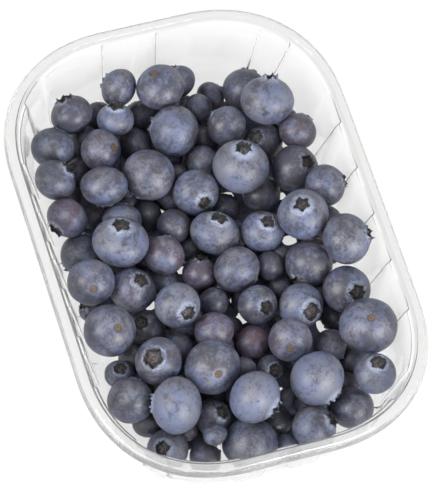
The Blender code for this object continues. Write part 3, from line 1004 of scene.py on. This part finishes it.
@dataclass
class Heap:
    """The berries, laid one by one along lines that run down from the viewpoint."""

    tray: Tray
    view: ViewPoint
    shape: BerryShape = field(default_factory=BerryShape)
    laying_point: tuple[float, float, float] = (545.0, -293.0, 1239.0)
    laying_level: float = 20.0
    tier_heights: tuple[float, ...] = (0.0, 12.0, 18.0, 24.0)
    laying_step: float = 0.5
    highest_centre: float = 40.0
    laying_squeeze: float = 1.6
    jostle_rounds: int = 60
    jostle_share: float = 0.45
    floor_gap: float = 0.3
    wall_gap: float = 0.8
    enclosing_reach: tuple[float, ...] = (3.0, 6.0, 9.0)
    below_tries: int = 14000
    below_diameters: tuple[float, float] = (6.0, 16.5)
    below_heights: tuple[float, ...] = (0.0, 2.0, 5.0, 8.0, 11.0, 14.0)
    below_squeeze: tuple[float, float] = (0.6, 3.0)
    core_cell: float = 1.6
    core_level: float = 2.6
    core_lumps: float = 1.2
    core_depth: float = 1.6
    core_inset: float = 5.0
    core_unit: float = 8.0
    seed: int = 7

    def on_line(self, x: float, y: float, z: float) -> np.ndarray:
        """Where the line that crosses the laying level at (x, y) reaches height z."""
        point = np.array(self.laying_point)
        share = (z - self.laying_level) / (point[2] - self.laying_level)
        start = np.array((x, y, self.laying_level))
        return start + share * (point - start)

    def lay(self, rows: tuple[BerryPlace, ...]) -> list[Berry]:
        """Lays each berry at its tier, or where earlier ones hold it.

        Args:
            rows: the berries in the order they are laid.

        Returns:
            The berries in their places.
        """
        berries = []
        centres = np.empty((0, 3))
        radii = np.empty(0)
        for index, row in enumerate(rows):
            radius = row.diameter / 2
            least = max(self.tier_heights[row.tier], radius + self.tray.thickness)
            best_height = least
            best_room = -math.inf
            for height in np.arange(least, self.highest_centre, self.laying_step):
                centre = self.on_line(row.x, row.y, height)
                room = self.tray.room_to_wall(*centre) - radius
                if len(radii):
                    distances = np.linalg.norm(centres - centre, axis=1)
                    room = min(room, (distances - radii - radius).min())
                if room > best_room + 0.01:
                    best_room = room
                    best_height = height
                if room > -self.laying_squeeze:
                    break
            centre = self.on_line(row.x, row.y, best_height)
            centres = np.vstack((centres, centre))
            radii = np.append(radii, radius)
            berries.append(Berry(centre, radius, row, index * 0.731 + 0.2))
        self.jostle(centres, radii)
        for berry, centre in zip(berries, centres):
            berry.centre = centre
        return berries

    def keep_inside(self, centre: np.ndarray, radius: float) -> None:
        """Moves a berry off the floor and the walls."""
        centre[2] = max(centre[2], radius + self.tray.thickness + self.floor_gap)
        short = radius + self.wall_gap - self.tray.room_to_wall(*centre)
        if short <= 0:
            return
        straights = (self.tray.long_straight, self.tray.short_straight)
        beyond = np.zeros(2)
        for part, straight in enumerate(straights):
            if abs(centre[part]) >= straight:
                beyond[part] = centre[part] - math.copysign(straight, centre[part])
        centre[:2] -= short * beyond / max(np.linalg.norm(beyond), 1.0)

    def jostle(self, centres: np.ndarray, radii: np.ndarray) -> None:
        """Pushes berries that press into each other apart, a little at a time.

        Args:
            centres: the berries' centres, which are moved.
            radii: their radii.
        """
        for _ in range(self.jostle_rounds):
            for index, centre in enumerate(centres):
                apart = centre - centres
                distances = np.linalg.norm(apart, axis=1)
                overlaps = radii + radii[index] - distances
                overlaps[index] = 0.0
                for other in np.flatnonzero(overlaps > 0):
                    push = self.jostle_share * overlaps[other] * apart[other] / distances[other]
                    centre += push
                    centres[other] -= push
                self.keep_inside(centre, radii[index])

    def seen_flat(self, point: np.ndarray) -> np.ndarray:
        """Where a point appears on the laying level, looked at from the laying point."""
        eye = np.array(self.laying_point)
        share = (eye[2] - self.laying_level) / (eye[2] - point[2])
        return (eye + share * (point - eye))[:2]

    def nearness(self, point: np.ndarray) -> float:
        """How far towards the eye a point is."""
        return float(point @ np.array(self.view.axes().col[2]))

    def out_of_sight(self, centre: np.ndarray, radius: float, discs: np.ndarray) -> bool:
        """Whether a berry shows only behind the others: not past the heap's edge, nor in a gap.

        Args:
            centre: its centre.
            radius: its radius.
            discs: x, y, radius and nearness of the berries in sight, as seen on the laying level.

        Returns:
            True where it may lie there.
        """
        seen = self.seen_flat(centre)
        for x, y, width in GAPS:
            if math.hypot(x - seen[0], y - seen[1]) < radius + width / 2:
                return False
        near = self.nearness(centre)
        for x, y, other, other_near in discs:
            if math.hypot(x - seen[0], y - seen[1]) < radius + other - 0.5 and near > other_near - 1.0:
                return False
        return bool(self.enclosed(seen + radius * self.ways(12), discs).all())

    @staticmethod
    def ways(count: int) -> np.ndarray:
        """Directions all round on the laying level, one to a row."""
        turns = math.tau * np.arange(count) / count
        return np.column_stack((np.cos(turns), np.sin(turns)))

    def enclosed(self, points: np.ndarray, discs: np.ndarray) -> np.ndarray:
        """Which points of the laying level are covered, or have berries on nearly every side.

        Args:
            points: the points, one to a row.
            discs: x, y and radius of the berries in sight, as seen on that level.

        Returns:
            True for each such point.
        """
        sides = np.zeros(len(points))
        for way in self.ways(8):
            near = [self.covered(points + reach * way, discs) for reach in self.enclosing_reach]
            sides += np.any(near, axis=0)
        return self.covered(points, discs) | (sides >= 6)

    @staticmethod
    def covered(points: np.ndarray, discs: np.ndarray) -> np.ndarray:
        """Which points of the laying level lie inside one of the discs."""
        away = points[..., None, :] - discs[:, :2]
        return ((away**2).sum(axis=-1) < discs[:, 2] ** 2).any(axis=-1)

    def core(self, berries: list[Berry]) -> bpy.types.Mesh:
        """A low uneven bed under the heap, open at the gaps, drawn in berry radii.

        Args:
            berries: the berries in sight.

        Returns:
            A mesh that the caller removes.
        """
        discs = np.array([(*self.seen_flat(berry.centre), berry.radius) for berry in berries])
        bed = bmesh.new()
        columns, rows = (round(size / self.core_cell) for size in (self.tray.length, self.tray.width))
        bmesh.ops.create_grid(bed, x_segments=columns, y_segments=rows, size=0.5)
        for vertex in bed.verts:
            place = Vector((vertex.co.x * self.tray.length, vertex.co.y * self.tray.width, 0.0))
            place.z = self.core_level + self.core_lumps * noise.noise(place * 0.15)
            vertex.co = place
        seen = np.array([self.seen_flat(np.array(vertex.co)) for vertex in bed.verts])
        inside = np.array([self.tray.room_to_wall(*vertex.co) for vertex in bed.verts]) > self.core_inset
        for way in self.ways(8):
            inside &= self.enclosed(seen + self.core_inset * way, discs)
        for x, y, width in GAPS:
            inside &= np.hypot(seen[:, 0] - x, seen[:, 1] - y) > width / 2 - self.core_cell / 4
        outside = [vertex for vertex, kept in zip(bed.verts, inside) if not kept]
        bmesh.ops.delete(bed, geom=outside, context="VERTS")
        loose = [vertex for vertex in bed.verts if not vertex.link_faces]
        bmesh.ops.delete(bed, geom=loose, context="VERTS")
        for _ in range(3):
            bmesh.ops.smooth_vert(
                bed, verts=bed.verts, factor=0.5, use_axis_x=True, use_axis_y=True, use_axis_z=True
            )
        bmesh.ops.solidify(bed, geom=bed.faces[:], thickness=self.core_depth)
        bmesh.ops.recalc_face_normals(bed, faces=bed.faces)
        bmesh.ops.scale(bed, verts=bed.verts, vec=Vector((1, 1, 1)) / self.core_unit)
        mesh = bpy.data.meshes.new("core")
        bed.to_mesh(mesh)
        bed.free()
        return mesh

    def fill_below(self, berries: list[Berry]) -> list[Berry]:
        """Drops more berries into the space under those in sight.

        Args:
            berries: the berries in sight.

        Returns:
            The berries below.
        """
        chance = random.Random(self.seed)
        centres = np.array([berry.centre for berry in berries])
        radii = np.array([berry.radius for berry in berries])
        discs = np.array(
            [(*self.seen_flat(berry.centre), berry.radius, self.nearness(berry.centre)) for berry in berries]
        )
        spots = discs
        below = []
        for index in range(self.below_tries):
            done = index / self.below_tries
            smallest, largest = self.below_diameters
            diameter = largest - (largest - smallest) * done
            radius = diameter / 2
            x = chance.uniform(-1, 1) * self.tray.length / 2
            y = chance.uniform(-1, 1) * self.tray.width / 2
            if done > 0.5 and self.covered(np.array((x, y)), spots).any():
                continue
            z = radius + self.tray.thickness + self.floor_gap + chance.choice(self.below_heights)
            centre = self.on_line(x, y, z)
            if self.tray.room_to_wall(*centre) < radius + self.wall_gap / 2:
                continue
            distances = np.linalg.norm(centres - centre, axis=1)
            least, most = self.below_squeeze
            if (distances - radii - radius).min() < -(least + (most - least) * done**2):
                continue
            if not self.out_of_sight(centre, radius, discs):
                continue
            centres = np.vstack((centres, centre))
            radii = np.append(radii, radius)
            spots = np.vstack((spots, (x, y, radius, self.nearness(centre))))
            tone = chance.choice((Tone.DARK, Tone.MID, Tone.MID, Tone.BROWN))
            row = BerryPlace(x, y, diameter, 0, tone)
            below.append(Berry(centre, radius, row, index * 0.377))
        return below

    def facing(self, berry: Berry, chance: random.Random) -> Matrix:
        """How a berry is turned.

        Args:
            berry: the berry.
            chance: where its free turns come from.

        Returns:
            The turn that takes the ideal berry's crown to where it points.
        """
        row = berry.row
        axes = self.view.axes()
        across, up = row.across, row.up
        if row.shows is Shows.NOTHING:
            if not (across or up):
                angle = chance.uniform(0, math.tau)
                across, up = 0.9 * math.cos(angle), 0.9 * math.sin(angle)
            towards = -math.sqrt(max(0.0, 1 - across**2 - up**2))
        else:
            towards = math.sqrt(max(0.0, 1 - across**2 - up**2))
        crown = across * axes.col[0] + up * axes.col[1] + towards * axes.col[2]
        if row.shows is Shows.SCAR:
            crown = -crown
        spin = Matrix.Rotation(chance.uniform(0, math.tau), 3, "Z")
        return Vector((0, 0, 1)).rotation_difference(crown).to_matrix() @ spin

    def half_width(self, berry: Berry, turn: Matrix) -> float:
        """Half the width of a flattened berry whose outline is as large as its row says.

        Args:
            berry: the berry.
            turn: how it is turned.

        Returns:
            Its radius at its widest, in millimetres.
        """
        towards = abs((turn @ Vector((0, 0, 1))).dot(self.view.axes().col[2]))
        height = math.hypot(towards, berry.row.flat * math.sqrt(max(0.0, 1 - towards**2)))
        return berry.radius * 2 / (1 + height)

    def add_shape(
        self, gathering: Gathering, mesh: bpy.types.Mesh, berry: Berry, turn: Matrix
    ) -> None:
        """Adds one berry's skin, crown or scar to a piece.

        Args:
            gathering: the piece.
            mesh: the ideal shape.
            berry: the berry.
            turn: how it is turned.
        """
        moved = []
        half_width = self.half_width(berry, turn)
        for vertex in mesh.vertices:
            point = self.shape.bent(vertex.co, berry.seed, half_width, berry.row)
            moved.append(turn @ point * half_width + Vector(berry.centre))
        bloom, redness = berry.row.tone.value
        gathering.add(mesh, moved, (bloom, redness, berry.seed))

    def build(self, rows: tuple[BerryPlace, ...]) -> None:
        """Makes every piece of the heap.

        Args:
            rows: the berries in sight.
        """
        berries = self.lay(rows)
        below = self.fill_below(berries)
        LOG.info("%d berries in sight, %d below", len(berries), len(below))
        skin = self.shape.turned("ideal_skin", self.shape.skin_profile())
        crown = self.shape.turned("ideal_crown", self.shape.crown_profile())
        scar = self.shape.turned("ideal_scar", self.shape.scar_profile())
        names = {
            Shows.CROWN: "berries_crown_up",
            Shows.SCAR: "berries_scar_up",
            Shows.NOTHING: "berries_on_side",
        }
        skins = {shows: Gathering(name) for shows, name in names.items()}
        lower = Gathering("berries_below")
        crowns = Gathering("berry_crowns")
        scars = Gathering("berry_scars")
        chance = random.Random(self.seed)
        for berry in berries:
            turn = self.facing(berry, chance)
            self.add_shape(skins[berry.row.shows], skin, berry, turn)
            self.add_shape(crowns, crown, berry, turn)
            if berry.row.shows is not Shows.NOTHING:
                self.add_shape(scars, scar, berry, turn)
        for berry in below:
            turn = self.facing(berry, chance)
            self.add_shape(lower, skin, berry, turn)
            self.add_shape(crowns, crown, berry, turn)
        bed = self.core(berries)
        bed_skin = Gathering("berries_core")
        bed_skin.add(bed, [vertex.co * self.core_unit for vertex in bed.vertices], (*Tone.LIGHT.value, 0.0))
        finish = BerrySkin().build()
        bed_skin.finish(finish, "berry_skin", "berries")
        for gathering in skins.values():
            gathering.finish(finish, "berry_skin", "berries")
        lower.finish(finish, "berry_skin", "berries")
        crowns.finish(DryPit().build(), "berry_crown", "berries")
        scars.finish(StemScar().build(), "stem_scar", "berries")
        for mesh in (skin, crown, scar, bed):
            bpy.data.meshes.remove(mesh)


@dataclass(frozen=True)
class Softbox:
    """A soft lamp, placed by its direction in the view's own axes: right, up, towards the eye."""

    name: str
    direction: tuple[float, float, float]
    size: tuple[float, float]
    power: float
    distance: float = 1.1

    def build(self, view: ViewPoint) -> bpy.types.Object:
        """Makes the lamp.

        Args:
            view: the view that the direction is given in.

        Returns:
            The lamp object.
        """
        data = bpy.data.lights.new(self.name, "AREA")
        data.shape = "RECTANGLE"
        data.size, data.size_y = self.size
        data.energy = self.power
        lamp = bpy.data.objects.new(self.name, data)
        bpy.context.scene.collection.objects.link(lamp)
        out = (view.axes() @ Vector(self.direction)).normalized()
        turn = out.to_track_quat("Z", "Y").to_matrix().to_4x4()
        lamp.matrix_world = Matrix.Translation(out * self.distance) @ turn
        return lamp


@dataclass(frozen=True)
class Studio:
    """White floor with a glow of its own, even white surroundings and two softboxes."""

    floor_size: float = 6.0
    floor_drop: float = 0.2
    floor_tone: float = 0.12
    floor_glow: float = 0.84
    surround: float = 0.9
    lamps: tuple[Softbox, ...] = (
        Softbox("left_softbox", (-0.656, 0.0, 0.756), (0.45, 0.65), 11.5),
        Softbox("right_softbox", (0.632, -0.451, 0.631), (0.45, 0.6), 14.0),
    )

    def build(self, view: ViewPoint) -> None:
        """Makes the floor, the surroundings and the lamps.

        Args:
            view: the view that the lamps stand by.
        """
        world = bpy.data.worlds.new("surround")
        world.use_nodes = True
        background = world.node_tree.nodes["Background"]
        background.inputs["Color"].default_value = colour(1.0, 1.0, 1.0)
        background.inputs["Strength"].default_value = self.surround
        bpy.context.scene.world = world
        bpy.context.scene.view_settings.view_transform = "Standard"
        plane = bmesh.new()
        bmesh.ops.create_grid(plane, x_segments=1, y_segments=1, size=self.floor_size / 2)
        bmesh.ops.translate(plane, verts=plane.verts, vec=(0, 0, -self.floor_drop * MM))
        graph = Graph("floor_paper")
        tone = self.floor_tone
        graph.put(graph.shader, "Base Color", colour(tone, tone, tone))
        graph.put(graph.shader, "Roughness", 0.9)
        graph.put(graph.shader, "Emission Color", colour(1.0, 1.0, 1.0))
        graph.put(graph.shader, "Emission Strength", self.floor_glow)
        floor = new_piece("floor", plane, graph.material)
        for lamp in self.lamps:
            lamp.build(view)


def main() -> None:
    """Builds the scene piece by piece."""
    logging.basicConfig(level=logging.INFO, format="%(name)s: %(message)s")
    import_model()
    view = ViewPoint()
    tray = Tray()
    LOG.info("tray")
    tray_piece = tray.build(ClearPlastic().build())
    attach(tray_piece, BODY)
    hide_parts("tray")
    LOG.info("heap")
    Heap(tray, view).build(BERRIES)
    LOG.info("studio and camera")
    Studio().build(view)
    view.add_camera()


if __name__ == "__main__":
    main()
